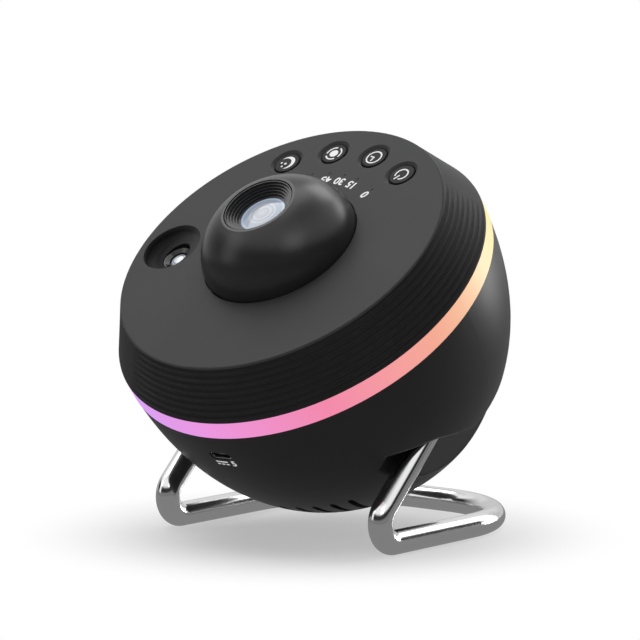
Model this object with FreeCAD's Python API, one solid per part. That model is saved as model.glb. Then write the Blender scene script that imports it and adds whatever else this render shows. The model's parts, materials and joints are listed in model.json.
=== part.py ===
"""Planetarium projector: a ball-shaped housing with a slanted control plate, a glowing ring and a
turret lens, which tilts on a bent rod stand.  Millimetres.

Two frames are used.  The stand frame has its origin on the floor, +Z up, -Y towards the lens side.
The ball frame has its origin at the ball's centre and +Z along the light beam; head() turns a shape
from the ball frame into the stand frame.  A "level" is a height along the beam in the ball frame.
"""
import FreeCAD, Part
import math
import os

from FreeCAD import Placement, Rotation, Vector

# ---- driving dimensions -------------------------------------------------------------------------

# the ball and its tilt
ball_radius = 70.0        # widest radius, at the light ring
bowl_depth = 86.2         # from the widest level down to the bottom of the ball
bowl_swell = 2.18         # exponent of the side profile, where 2 is an ellipse
seam_level = 2.4          # top of the lower shell
ball_height = 82.6        # ball centre above the floor
ball_forward = 5.6        # ball centre in front of the origin
lean = 38.5               # the beam leans this many degrees forward of straight up
shell_wall = 2.2
rib_wall = 2.5            # inner seats' and shelves' walls
past = 1.0                # how far a cutter runs past the face that it opens
root = 0.5                # how deep an added rib or post starts in the wall that carries it

# the glowing ring and the cover
ring_height = 7.1
ring_wall = 2.8
flank_height = 17.6
plate_inset = 8.8         # plate's edge in from the ball's widest radius
plate_edge_round = 0.8
skirt_wall = 2.0
skirt_gap = 3.0           # from the light ring's inside to the skirt
skirt_drop = 5.1          # skirt's end below the seam
panel_width = 32.6        # ring of the plate between the turret and the plate's edge
strip_play = 0.1          # light strip round the skirt
strip_thickness = 0.5
strip_width = 6.8
strip_leds = 24
snap_count = 6
snap_width = 16.0         # degrees
snap_thickness = 1.6
snap_bite = 0.6
ledge_thickness = 1.6
ledge_drop = 1.5          # ledge's top below the seam
ledge_reach = 1.4         # ledge's inner edge in from the shell's wall
snap_play = 0.1

# decorative grooves on the flank
groove_count = 8
groove_radius = 0.95
groove_depth = 0.7
groove_middle = -42.0     # degrees, where the grooved stretch has its middle
groove_stretch = 128.0    # degrees at full depth
groove_fade = 20.0        # degrees over which a groove runs out at each end
fade_radius = 93.0        # run-out arc's radius
groove_start = 0.75       # lowest groove above the flank's foot, in pitches

# the turret and its lens
dome_rise = 22.2
dome_wall = 2.0
dome_gap = 0.4
lip_radius = 13.9
lip_round = 0.5
collar_wall = 1.8
collar_length = 15.0
flange_reach = 2.4
flange_thickness = 1.3
turn_play = 0.25
retainer_thickness = 1.6
retainer_reach = 4.1      # retainer beyond the dome's flange
focus_turn = 60.0         # degrees each way
focus_travel = 1.2        # barrel's travel each way
stop_reach = 1.8          # stop tab beyond the dome's flange
stop_width = 8.0          # degrees
stop_play = 0.5           # degrees left at the end of the turn
cam_pin_radius = 0.9      # pins on the barrel that run in the collar's helical grooves
cam_pin_reach = 1.2
cam_play = 0.15
cam_drop = 8.5            # pins below the barrel's top
cam_end = 6.0             # degrees of groove past the end of the turn
cam_entry = 15.0          # degrees past the turn at which a pin is let in
barrel_radius = 12.6
barrel_play = 0.4
barrel_length = 32.1
barrel_below_lip = 0.25
lens_radius = 10.8
lens_view = 8.5           # radius of the lens that shows inside the barrel's ledge
lens_edge = 3.0
lens_crown = 1.3
lens_play = 0.1
barrel_step = 0.75
barrel_steps = 5
barrel_ledge = 0.5        # thickness of the ledge over the front lens
barrel_rim = 0.3          # width of the barrel's end face
barrel_floor = 1.2        # rear lens's seat
lock_ring_height = 2.2
lock_ring_wall = 1.4
rear_lens_edge = 3.0
lens_press = 0.05         # clearance of what is pressed or glued in
key_width = 3.0
key_height = 4.0
key_reach = 1.7
key_play = 0.3
guide_wall = 2.0
guide_gap = 5.5           # guide's top below the turret's collar

# control panel
panel_turn = -3.0         # degrees, panel's middle away from +Y
button_inset = 11.8       # buttons' circle in from the plate's edge
button_pitch = 21.9       # degrees
button_count = 4
button_radius = 4.9
button_gap = 0.25
button_drop = 0.45        # button's top below the plate
well_reach = 1.2          # conical well round each button
well_depth = 0.9
button_round = 0.5
button_flange = 1.2
button_flange_height = 1.2
button_flange_play = 0.2
button_travel = 0.6
stem_radius = 1.5
stem_length = 3.0
switch_size = 6.0
switch_height = 3.9
stem_in_switch = 0.48     # stem's end below the switch's top
switch_play = 0.4
well_play = 0.15
pcb_thickness = 1.6
board_post_wall = 1.2
post_bore_depth = 5.0
indicator_inset = 11.5    # indicators' circle in from the buttons'
indicator_radius = 0.6
pipe_play = 0.05
pipe_foot = 1.2
pipe_drop = 0.1           # pipe's end below the plate's face
indicator_pitch = 10.75   # degrees
row_indicators = 4        # timer lights in an even row
power_light_steps = 4.5   # power light after the row's first, in pitches
led_size = 2.6
led_height = 1.0
small_led = 1.8
board_gap = 0.5           # control board outside the turret's retainer
board_edge = 4.6          # and beyond the switches
board_half_angle = 52.0   # degrees
board_posts_beyond = 2.6  # circle of the two outer posts beyond the buttons'
board_posts_angle = 46.0  # degrees from the panel's middle
board_post_turn = 42.0    # degrees, the third post, on the indicators' circle

# the small nebula lens in its scooped recess
scoop_radius = 11.5
scoop_reach = 17.6        # scoop's centre from the turret's edge
scoop_place = 185.0       # degrees
scoop_rise = 17.0         # degrees, direction in which the scoop's floor rises
scoop_deep = 4.6
scoop_shallow = 0.3
scoop_round = 3.0         # between the scoop's wall and its floor
scoop_wall = 1.8
nebula_shift_x = 0.9      # small lens off the scoop's centre
nebula_shift_y = -1.85
nebula_hole = 5.8
bezel_radius = 5.5
bezel_height = 2.1
bezel_recess = 3.7        # bezel's top below the plate
nebula_lens_radius = 3.55
nebula_lens_crown = 0.6
nebula_lens_lip = 0.6     # width of the ledge under the small lens
tube_flange = 8.0
tube_radius = 6.0
tube_bore = 4.6
tube_flange_drop = 5.5    # tube's flange below the plate's underside
tube_flange_thickness = 1.5
ripple_radius = 13.0
ripple_thickness = 1.0
ripple_lift = 9.2         # ripple disc above the frame
ripple_offset = 9.5
ripple_turn = -60.0       # degrees, from the lens to the ripple motor
ripple_motor_radius = 6.0
ripple_motor_height = 12.0
ripple_shaft_radius = 0.75
ripple_motor_drop = 4.2   # motor's top below the ripple disc
ripple_hub_radius = 2.5
ripple_hub_above = 0.7    # hub beyond the disc's faces
ripple_hub_below = 0.9
shaft_in_motor = 2.0
motor_flange = 0.6        # ripple motor's flange beyond its can
motor_flange_thickness = 0.8
motor_hole_play = 0.1
motor_well_play = 0.4     # shaft's end to the bottom of its motor's well
nebula_gap = 1.3          # ripple disc to the tube above it
nebula_board_radius = 5.0
nebula_board_thickness = 1.2
nebula_board_drop = 2.2   # board's face below the ripple disc
nebula_post_radius = 2.5
nebula_lens_edge = 0.9
bezel_mouth = 0.8         # depth of the bezel's conical mouth
bezel_rim = 0.3

# light engine
sink_gap = 4.9            # main board to the heat sink
frame_thickness = 2.0
frame_gap = 8.6           # frame's edge in from the shell's inside wall
frame_notch = 0.8         # frame's clearance round the inlet's board
frame_hole = 21.5
film_radius = 22.3
film_thickness = 1.1
carrier_teeth = 54
pinion_teeth = 12
tooth_module = 1.0
mesh_play = 0.3
carrier_height = 3.0
carrier_lift = 0.7        # toothed ring's underside above the frame
carrier_seat = 2.0        # film disc's seat below the carrier's top
carrier_step = 2.0        # width of that seat
spigot_play = 0.3
wheel_play = 0.2
thrust_rib = 1.5          # width of the ribs that keep the carrier level
tooth_tip = 0.85          # tooth above and below the pitch circle, in modules
tooth_root = 1.15
tooth_tip_share = 0.10    # half-widths, in pitches
tooth_root_share = 0.33
pinion_lift = 0.2
drive_angle = 30.0        # degrees, where the pinion meets the film carrier
motor_radius = 7.5
motor_height = 12.0
shaft_radius = 1.0
disc_shaft_in_motor = 3.0
motor_round = 0.8
bridge_radius = 30.0
bridge_key_start = 6.0    # slots for the barrel's keys begin this far above the bridge's underside
bridge_gap = 1.8          # bridge above the film carrier
leg_circle = 35.5
leg_radius = 3.0
condenser_radius = 17.0
condenser_edge = 2.0
condenser_crown = 5.0
condenser_drop = 3.0      # condenser's crown below the frame
condenser_seat = 1.0
condenser_lip = 1.6
lamp_wall = 3.2
lamp_length = 18.0
lamp_flange = 5.2
lamp_flange_thickness = 2.0
lamp_chip = 5.0
lamp_chip_height = 1.2
sink_radius = 20.5
sink_base = 3.0
fin_height = 10.0
fin_thickness = 1.4
fin_count = 7
fin_edge = 2.0            # outer fins in from the base's edge

# electronics and speaker
board_play = 0.4          # speaker to the parts under the main board
board_length = 66.0
board_width = 58.0
board_post_inset = 5.0    # posts in from the board's edges
board_hole_depth = 6.0
post_radius = 2.6
chip_size = 12.0
chip_height = 1.3
chip_y = 14.0
capacitor_radius = 2.5
tall_part = 5.0           # capacitors and plugs below the board
plug_length = 7.5
plug_width = 4.5
speaker_radius = 21.5
speaker_lift = 10.7       # speaker's rim above the ball's bottom
speaker_depth = 6.6
magnet_radius = 13.0
magnet_height = 7.5
basket_wall = 1.2
basket_rim = 4.0          # width of the rim that the cone hangs in
basket_flat = 2.0
magnet_round = 0.8
cone_thickness = 0.6
cone_depth = 3.6
dust_cap_radius = 6.0
usb_width = 8.9
usb_height = 3.2
usb_depth = 7.4
usb_above_frame = 1.3     # inlet's middle above the optics frame's underside
usb_play = 0.25
usb_inset = 0.6           # socket's mouth behind the ball's skin
usb_shell = 0.35          # socket's sheet
usb_tongue_width = 6.6
usb_tongue_thickness = 0.7
usb_board_width = 16.0
usb_board_length = 12.0
usb_board_start = 1.5     # board's front edge behind the shell's wall
usb_shelf_height = 5.0

# vents round the bottom
vent_pitch = 7.0          # degrees
vents_each_side = 4
vent_middles = (-90.0, 90.0)  # in front and behind, degrees round the beam
vent_inner = 41.0
vent_outer = 57.0
vent_width = 2.2

# cheek recesses and tilt pivots
facet_inset = 26.7        # flat wall of each recess in from the ball's widest radius
cheek_front = 30.1        # recess edge's front end before the tilt axis
cheek_front_rise = 7.2    # and above it
cheek_front_slope = 0.45  # front wall's lean
cheek_knee = 15.0
cheek_knee_rise = 1.0
cheek_floor = 5.5         # edge's lowest corner behind the tilt axis
cheek_floor_drop = 13.0   # and below it
cheek_round = 9.0
cheek_edge_round = 2.0
pocket_above = 1.3        # room over and behind the hub in its pocket
pocket_behind = 1.5
pivot_y = -12.0           # tilt axis in the ball frame
pivot_height = 41.5       # tilt axis above the ball's bottom
journal_radius = 4.0
journal_play = 0.08
bush_length = 8.0
bush_wall = 2.2
bush_flange = 2.2         # flange beyond the sleeve
boss_wall = 2.6
barrel_hub_radius = 6.5
hub_gap = 0.6             # pivot hub to the recess wall
hub_round = 0.8
bush_flange_thickness = 1.2
washer_thickness = 0.8
washer_reach = 1.0
nut_height = 4.0
nut_radius = 6.8
stack_play = 0.1
thread_end = 0.6          # journal beyond the nut

# stand
rod_radius = 4.3
rod_gap = 0.6             # leg to the recess wall
rod_lean = 46.0           # degrees, legs back from vertical
front_bend = 7.2          # centreline radii
rear_bend = 41.0
stand_back = 65.9         # rear crossbar behind the origin
rod_socket = 1.5          # rod's end short of the tilt axis

# screws
screw_radius = 1.0
screw_head_radius = 1.9
screw_head_height = 1.4
frame_post_inset = 4.0    # frame's screws in from its edge
frame_post_angles = (54.0, 126.0, 234.0, 306.0)
frame_post_radius = 3.2
frame_screw_radius = 1.25
frame_screw_length = 9.0
screw_bite = 4.0          # a small screw's thread in what it holds to
screw_tip_play = 1.0      # a screw's tip to the bottom of its hole

# ---- worked out from them -------------------------------------------------------------------------

# radii
plate_radius = ball_radius - plate_inset
flank_slope = plate_inset / flank_height
flank_wall = shell_wall * math.hypot(1.0, flank_slope)
skirt_outer = ball_radius - ring_wall - skirt_gap
skirt_inner = skirt_outer - skirt_wall
dome_radius = plate_radius - panel_width
dome_hole = dome_radius + dome_gap
flange_radius = dome_radius + flange_reach
stop_radius = flange_radius + stop_reach
retainer_radius = flange_radius + retainer_reach
spacer_inner = flange_radius + turn_play
retainer_screw_circle = (spacer_inner + retainer_radius) / 2
barrel_bore = lens_radius + lens_play
button_circle = plate_radius - button_inset
indicator_circle = button_circle - indicator_inset
board_inner = retainer_radius + board_gap
board_outer = button_circle + switch_size / 2 + board_edge
lamp_inner = condenser_radius + lens_play
lamp_outer = lamp_inner + lamp_wall
lamp_screw_circle = lamp_outer + (lamp_flange + screw_head_radius - screw_radius) / 2
gear_distance = (carrier_teeth + pinion_teeth) * tooth_module / 2 + mesh_play
facet_x = ball_radius - facet_inset
bush_outer = journal_radius + journal_play + bush_wall
boss_end = facet_x - shell_wall - bush_length
rod_spread = facet_x + rod_gap + rod_radius

# levels of the cover, from the seam up
widest_level = seam_level + ring_height
plate_level = widest_level + flank_height
plate_under = plate_level - shell_wall
skirt_end = seam_level - skirt_drop
ledge_top = seam_level - ledge_drop
ledge_bottom = ledge_top - ledge_thickness
flange_top = plate_under - turn_play
flange_bottom = flange_top - flange_thickness
retainer_top = flange_bottom - turn_play
lip_level = plate_level + dome_rise * math.sqrt(1.0 - (lip_radius / dome_radius) ** 2)
barrel_top = lip_level - barrel_below_lip
barrel_bottom = barrel_top - barrel_length
cam_level = barrel_top - cam_drop
lens_top = barrel_top - barrel_steps * barrel_step - barrel_ledge
lens_ball = (lens_radius ** 2 + lens_crown ** 2) / (2 * lens_crown)
lens_rise = lens_crown - lens_ball + math.sqrt(lens_ball ** 2 - lens_view ** 2)
lens_bottom = lens_top - lens_press - lens_rise - lens_edge
button_top = plate_level - button_drop
flange_face = plate_under - button_flange_play
stem_end = flange_face - button_flange_height - stem_length
switch_top = stem_end + stem_in_switch
switch_bottom = switch_top - switch_height
board_under = switch_bottom - pcb_thickness
bezel_top = plate_level - bezel_recess
bezel_bottom = bezel_top - bezel_height
tube_flange_level = plate_under - tube_flange_drop

# levels of what stands in the lower shell, from the ball's bottom up
ball_bottom = widest_level - bowl_depth
pivot_level = ball_bottom + pivot_height
speaker_seat_level = ball_bottom + speaker_lift
board_level = speaker_seat_level + speaker_depth + magnet_height + tall_part + board_play
lamp_bottom = board_level + pcb_thickness + sink_gap + fin_height + sink_base
frame_level = lamp_bottom + lamp_length
frame_top = frame_level + frame_thickness
usb_level = frame_level + usb_above_frame
carrier_bottom = frame_top + carrier_lift
carrier_top = carrier_bottom + carrier_height
film_level = carrier_top - carrier_seat
guide_bottom = carrier_top + bridge_gap
bridge_top = guide_bottom + frame_thickness
ripple_level = frame_top + ripple_lift
ripple_top = ripple_level + ripple_thickness
ripple_motor_top = ripple_level - ripple_motor_drop
condenser_level = frame_level - condenser_drop - condenser_crown - condenser_edge

# directions round the beam, in degrees
uphill = 90.0             # the plate's raised side, +Y
panel_middle = uphill + panel_turn
leg_angles = (100.0, 240.0, 340.0)
lamp_screw_angles = (90.0, 210.0, 330.0)
retainer_angles = (10.0, 170.0, 270.0)
stop_angle = 90.0         # where the stop tab stands at rest
cam_angles = (0.0, 180.0)
sides = (-1, 1)


# ---- small helpers --------------------------------------------------------------------------------


def cylinder(radius, bottom, top, x=0.0, y=0.0):
    return Part.makeCylinder(radius, top - bottom, Vector(x, y, bottom))


def tube(outer, inner, bottom, top, x=0.0, y=0.0):
    return cylinder(outer, bottom, top, x, y).cut(cylinder(inner, bottom - past, top + past, x, y))


def cross_pin(radius, x_start, x_end):
    """A cylinder along the tilt axis."""
    start = Vector(min(x_start, x_end), pivot_y, pivot_level)
    return Part.makeCylinder(radius, abs(x_end - x_start), start, Vector(1, 0, 0))


def block(x0, x1, y0, y1, z0, z1):
    return Part.makeBox(x1 - x0, y1 - y0, z1 - z0, Vector(x0, y0, z0))


def closed(corners):
    return Part.Face(Part.makePolygon(corners + corners[:1]))


def turned(outline, angle=360.0, start=0.0):
    """A solid of revolution about the beam from corner points (radius, level)."""
    face = closed([Vector(r, 0, z) for r, z in outline])
    return turn(face.revolve(Vector(0, 0, 0), Vector(0, 0, 1), angle), start)


def sector(inner, outer, bottom, top, middle, width):
    """Part of a tube round the beam, width degrees wide."""
    outline = [(inner, bottom), (outer, bottom), (outer, top), (inner, top)]
    return turned(outline, width, middle - width / 2)


def swelled(radius, height, swell, start, end, steps=12):
    """Points (radius, rise) of a rounded side profile between two rises above its widest circle."""
    first = math.asin((start / height) ** (swell / 2))
    last = math.asin(min(1.0, (end / height) ** (swell / 2)))
    points = []
    for k in range(steps + 1):
        angle = first + (last - first) * k / steps
        out = max(0.0, math.cos(angle)) ** (2 / swell)
        points.append((radius * out, height * math.sin(angle) ** (2 / swell)))
    return points


def crowned(points, base_radius, base_level):
    """Revolve a smooth profile, closed by a flat base and the beam axis."""
    corners = [Vector(r, 0, z) for r, z in points]
    spline = Part.BSplineCurve()
    spline.interpolate(corners)
    edges = [spline.toShape()]
    top = corners[-1]
    if top.x > 0.01:
        edges.append(Part.makeLine(top, Vector(0, 0, top.z)))
        top = Vector(0, 0, top.z)
    edges.append(Part.makeLine(top, Vector(0, 0, base_level)))
    edges.append(Part.makeLine(Vector(0, 0, base_level), Vector(base_radius, 0, base_level)))
    if abs(corners[0].z - base_level) > 0.001:
        edges.append(Part.makeLine(Vector(base_radius, 0, base_level), corners[0]))
    return Part.Face(Part.Wire(Part.__sortEdges__(edges))).revolve(Vector(0, 0, 0), Vector(0, 0, 1), 360)


def lens(radius, edge, crown, bottom, x=0.0, y=0.0):
    """A lens with a flat back and a crowned front."""
    ball = (radius ** 2 + crown ** 2) / (2 * crown)
    cap = Part.makeSphere(ball, Vector(x, y, bottom + edge + crown - ball))
    return cylinder(radius, bottom, bottom + edge + crown, x, y).common(cap)


def turn(shape, angle):
    copy = shape.copy()
    copy.rotate(Vector(0, 0, 0), Vector(0, 0, 1), angle)
    return copy


def polar(radius, angle):
    return radius * math.cos(math.radians(angle)), radius * math.sin(math.radians(angle))


def joined(first, others):
    return first.fuse(others).removeSplitter()


def rounded(shape, radius, wanted):
    """Round the edges for which wanted(edge) is true."""
    return shape.makeFillet(radius, [edge for edge in shape.Edges if wanted(edge)])


def circle_at(radius, level):
    """A test for the full circle of this radius at this level round the beam."""
    def wanted(edge):
        box = edge.BoundBox
        return box.ZLength < 0.01 and abs(box.ZMin - level) < 0.01 and abs(box.XMax - radius) < 0.01
    return wanted


def circle_at_top(level):
    """A test for the edges at this level."""
    return lambda edge: edge.BoundBox.ZMin > level - 0.01


def screw(x, y, seat, length, radius=screw_radius, down=True):
    """A pan-head screw whose head rests on the level seat and whose shank goes down or up."""
    foot = Vector(x, y, seat)
    way = Vector(0, 0, -1 if down else 1)
    pan = Part.makeCylinder(radius * screw_head_radius, screw_head_height, foot, -way)
    return pan.fuse(Part.makeCylinder(radius, length, foot, way))


def head(shape):
    """From the ball frame to the stand frame."""
    place = Placement(Vector(0, -ball_forward, ball_height), Rotation(Vector(1, 0, 0), lean))
    moved = shape.copy()
    moved.Placement = place.multiply(moved.Placement)
    return moved


# ---- the ball's lower shell -----------------------------------------------------------------------


def bowl(shrink, top):
    """The lower part of the ball below a level, made smaller by shrink all round."""
    radius = ball_radius - shrink
    depth = bowl_depth - shrink
    points = swelled(radius, depth, bowl_swell, widest_level - top, depth)
    profile = [(r, widest_level - drop) for r, drop in points]
    return crowned(profile, profile[0][0], top)


def bowl_radius(shrink, level):
    """Radius of the ball's side at a level, made smaller by shrink."""
    drop = (widest_level - level) / (bowl_depth - shrink)
    return (ball_radius - shrink) * (1.0 - drop ** bowl_swell) ** (1.0 / bowl_swell)


def bowl_level(shrink, radius):
    """Level at which the ball's side has a radius, made smaller by shrink."""
    share = 1.0 - (radius / (ball_radius - shrink)) ** bowl_swell
    return widest_level - (bowl_depth - shrink) * share ** (1.0 / bowl_swell)


def frame_posts():
    circle = bowl_radius(shell_wall, frame_level) - frame_gap - frame_post_inset
    return [polar(circle, angle) for angle in frame_post_angles]


def main_board_posts():
    x = board_length / 2 - board_post_inset
    y = board_width / 2 - board_post_inset
    return [(-x, -y), (-x, y), (x, -y), (x, y)]


def cheek_prism(side, start_x, wall=0.0):
    """Everything outside start_x and below the recess edge, made larger by a wall where wanted."""
    far = ball_radius + past
    deep = bowl_depth
    front = pivot_y - cheek_front - wall
    knee = pivot_y - cheek_knee
    corner = pivot_y + cheek_floor
    floor = pivot_level - cheek_floor_drop + wall
    path = [(front, pivot_level + cheek_front_rise + wall), (knee, pivot_level + cheek_knee_rise + wall)]
    path += [(corner, floor), (far, floor), (far, -deep)]
    path += [(front - cheek_front_slope * (deep + pivot_level + cheek_front_rise), -deep)]
    prism = closed([Vector(side * start_x, y, z) for y, z in path]).extrude(Vector(side * far, 0, 0))

    def at_bend(edge):
        middle = edge.BoundBox.Center
        inside = knee - snap_play < middle.y < corner + snap_play
        return inside and edge.BoundBox.XLength > far / 2
    return rounded(prism, cheek_round, at_bend)


def on_skin(edge):
    """Whether an edge of the lower shell lies on the ball's outside, on a recess's rim."""
    step = (edge.LastParameter - edge.FirstParameter) / 4
    points = [edge.valueAt(edge.FirstParameter + k * step) for k in range(5)]
    low = seam_level - past
    near = [abs(math.hypot(p.x, p.y) - bowl_radius(0.0, p.z)) < shell_wall / 4 for p in points if p.z < low]
    outside = [abs(p.x) > facet_x - snap_play for p in points]
    seam = all(abs(p.y) < snap_play for p in points)
    return len(near) == len(points) and all(near) and all(outside) and not seam


def rod_pocket(side, start_x, wall):
    """The space behind the recess edge in which the rod's hub swings."""
    ceiling = pivot_level + barrel_hub_radius + pocket_above + wall
    rear = pivot_y + barrel_hub_radius + pocket_behind + wall
    far = side * (ball_radius + past)
    low_x = min(side * start_x, far)
    high_x = max(side * start_x, far)
    return block(low_x, high_x, -ball_radius, rear, ball_bottom, ceiling)


def vent_slots():
    """Radial slots in two groups, in front and behind."""
    half = vent_width / 2
    ceiling = bowl_level(shell_wall, vent_outer) + past
    ends = (vent_inner + half, vent_outer - half)
    slot = block(ends[0], ends[1], -half, half, ball_bottom, ceiling)
    slot = slot.fuse([cylinder(half, ball_bottom, ceiling, x) for x in ends])
    steps = range(-vents_each_side, vents_each_side + 1)
    return [turn(slot, middle + k * vent_pitch) for middle in vent_middles for k in steps]


def usb_opening(play):
    """A rounded slot-shaped bar along the inlet's direction, from outside the ball to the socket's end."""
    half = usb_height / 2 + play
    reach = usb_width / 2 - usb_height / 2
    start = -ball_radius - past
    length = ball_radius - bowl_radius(0.0, usb_level) + usb_inset + usb_depth + 2 * past
    along = Vector(0, 1, 0)
    ends = [Part.makeCylinder(half, length, Vector(x, start, usb_level), along) for x in (-reach, reach)]
    middle = block(-reach, reach, start, start + length, usb_level - half, usb_level + half)
    return middle.fuse(ends)


def usb_board_end():
    return usb_board_length - bowl_radius(shell_wall, usb_level)


def ledge_radius():
    return bowl_radius(shell_wall, seam_level) - ledge_reach


def shell_fittings():
    """What stands up from the lower shell's inside wall."""
    fittings = [tube(ball_radius, ledge_radius(), ledge_bottom, ledge_top)]
    for x, y in frame_posts():
        fittings.append(cylinder(frame_post_radius, -bowl_depth, frame_level, x, y))
    for x, y in main_board_posts():
        fittings.append(cylinder(post_radius, -bowl_depth, board_level, x, y))
    fittings.append(tube(speaker_radius, speaker_radius - rib_wall, -bowl_depth, speaker_seat_level))
    shelf_top = usb_level - usb_height / 2 - pcb_thickness
    shelf_bottom = shelf_top - usb_shelf_height
    for side in sides:
        inner = usb_board_width / 2 - rib_wall
        low = min(side * inner, side * usb_board_width / 2)
        fittings.append(block(low, low + rib_wall, -ball_radius, usb_board_end(), shelf_bottom, shelf_top))
    return fittings


def lower_shell():
    outside = bowl(0.0, seam_level)
    for side in sides:
        outside = outside.cut(cheek_prism(side, facet_x))
    outside = rounded(outside, cheek_edge_round, on_skin)
    inside = bowl(shell_wall, seam_level)
    pockets = [rod_pocket(side, facet_x, 0.0).common(inside) for side in sides]
    jackets = []
    for side in sides:
        jackets.append(rod_pocket(side, facet_x - shell_wall, shell_wall))
        jackets.append(cheek_prism(side, facet_x - shell_wall, shell_wall))
    hollow = inside.cut(jackets)
    shell = outside.cut(pockets).cut(hollow)
    shell = shell.cut(vent_slots())
    trim = bowl(shell_wall / 2, seam_level)
    extras = [fitting.common(trim) for fitting in shell_fittings()]
    for side in sides:
        extras.append(cross_pin(bush_outer + boss_wall, side * boss_end, side * (facet_x - shell_wall / 2)))
    shell = joined(shell, extras)
    holes = [usb_opening(usb_play)]
    for side in sides:
        holes.append(cross_pin(bush_outer, side * (boss_end - past), side * (facet_x - shell_wall)))
        holes.append(cross_pin(journal_radius + journal_play, side * boss_end, side * (facet_x + past)))
    screw_hole_end = frame_level - frame_screw_length
    for x, y in frame_posts():
        holes.append(cylinder(frame_screw_radius, screw_hole_end, frame_level + past, x, y))
    for x, y in main_board_posts():
        holes.append(cylinder(screw_radius, board_level - board_hole_depth, board_level + past, x, y))
    return shell.cut(holes)


# ---- the glowing ring -----------------------------------------------------------------------------


def light_ring():
    return tube(ball_radius, ball_radius - ring_wall, seam_level, widest_level)


def ring_led_strip():
    """A flexible strip round the skirt with its light chips facing out."""
    strip_inner = skirt_outer + strip_play
    strip_outer = strip_inner + strip_thickness
    middle = seam_level + ring_height / 2
    strip = tube(strip_outer, strip_inner, middle - strip_width / 2, middle + strip_width / 2)
    half = led_size / 2
    start = strip_outer - strip_thickness / 2
    chip = block(start, strip_outer + led_height, -half, half, middle - half, middle + half)
    return joined(strip, [turn(chip, k * 360.0 / strip_leds) for k in range(strip_leds)])


# ---- the cover ------------------------------------------------------------------------------------


def flank_radius(level):
    return ball_radius - (level - widest_level) * flank_slope


def ring_piece(centre_radius, level, angle_from, angle_to, shift=(0.0, 0.0)):
    """Part of a torus with the groove's round section."""
    section = Part.Wire(Part.makeCircle(groove_radius, Vector(centre_radius, 0, level), Vector(0, 1, 0)))
    piece = Part.Face(section).revolve(Vector(0, 0, 0), Vector(0, 0, 1), angle_to - angle_from)
    piece = turn(piece, angle_from)
    piece.translate(Vector(shift[0], shift[1], 0))
    return piece


def groove(level):
    """One groove cutter: a full-depth arc and a wider arc at each end that leaves the flank."""
    centre = flank_radius(level) + groove_radius - groove_depth
    first = groove_middle - groove_stretch / 2
    last = groove_middle + groove_stretch / 2
    turn_out = groove_fade * centre / fade_radius
    pieces = [ring_piece(centre, level, first, last)]
    for end, low, high in ((first, first - turn_out, first), (last, last, last + turn_out)):
        pieces.append(ring_piece(fade_radius, level, low, high, polar(centre - fade_radius, end)))
    return pieces[0].fuse(pieces[1:])


def scoop_centre():
    return polar(dome_radius + scoop_reach, scoop_place)


def nebula_centre():
    x, y = scoop_centre()
    return x + nebula_shift_x, y + nebula_shift_y


def scoop(grow):
    """The scooped recess's cutter: a round-ended plug whose flat end is the sloping floor."""
    rise = math.degrees(math.atan((scoop_deep - scoop_shallow) / (2 * scoop_radius)))
    plug = Part.makeCylinder(scoop_radius + grow, plate_radius)
    plug = rounded(plug, scoop_round + grow, lambda edge: edge.BoundBox.ZMax < root)
    plug.rotate(Vector(0, 0, 0), Vector(0, 1, 0), -rise)
    plug.rotate(Vector(0, 0, 0), Vector(0, 0, 1), scoop_rise)
    x, y = scoop_centre()
    plug.translate(Vector(x, y, plate_level - (scoop_deep + scoop_shallow) / 2 - grow))
    return plug


def board_posts():
    """Places of the three posts that carry the control board."""
    circle = button_circle + board_posts_beyond
    places = [polar(circle, panel_middle + side * board_posts_angle) for side in sides]
    return places + [polar(indicator_circle, panel_middle + board_post_turn)]


def button_angles():
    first = panel_middle + button_pitch * (button_count - 1) / 2
    return [first - k * button_pitch for k in range(button_count)]


def indicator_angles():
    first = panel_middle + indicator_pitch * (row_indicators - 1) / 2
    row = [first - k * indicator_pitch for k in range(row_indicators)]
    return row + [first - power_light_steps * indicator_pitch]


def cover_body():
    """Plate, flank and skirt in one wall."""
    edge = plate_radius + shell_wall * flank_slope - flank_wall
    side_wall = [(ball_radius, widest_level), (ball_radius - flank_wall, widest_level)]
    skirt_join = plate_under - (skirt_outer - edge) / flank_slope
    skirt = [(skirt_outer, skirt_join), (skirt_outer, skirt_end), (skirt_inner, skirt_end)]
    roof = [(skirt_inner, skirt_join + skirt_wall / flank_slope), (edge, plate_under), (0, plate_under)]
    cover = turned([(0, plate_level), (plate_radius, plate_level)] + side_wall + skirt + roof)
    cover = rounded(cover, plate_edge_round, circle_at(plate_radius, plate_level))
    pitch = (flank_height - plate_edge_round) / groove_count
    return cover.cut([groove(widest_level + pitch * (k + groove_start)) for k in range(groove_count)])


def snap_hook():
    """One hook of the skirt, which catches under the shell's ledge."""
    top = ledge_bottom - snap_play
    start = skirt_outer - root
    outline = [(start, top), (ledge_radius() + snap_bite, top), (start, top - snap_thickness)]
    return turned(outline, snap_width)


def cover_fittings():
    """What hangs from the cover: the turret's spacer, the scoop's wall, the posts and the hooks."""
    fittings = [tube(retainer_radius, spacer_inner, retainer_top, plate_under + root)]
    top = plate_level - past
    low = tube_flange_level
    limit = turned([(0, top), (plate_radius, top), (skirt_inner + root, low), (0, low)])
    fittings.append(scoop(scoop_wall).common(limit))
    fittings.append(cylinder(tube_flange, tube_flange_level, plate_under, *nebula_centre()))
    for x, y in board_posts():
        fittings.append(cylinder(screw_radius + board_post_wall, switch_bottom, plate_under + root, x, y))
    return fittings + [turn(snap_hook(), k * 360.0 / snap_count) for k in range(snap_count)]


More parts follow.
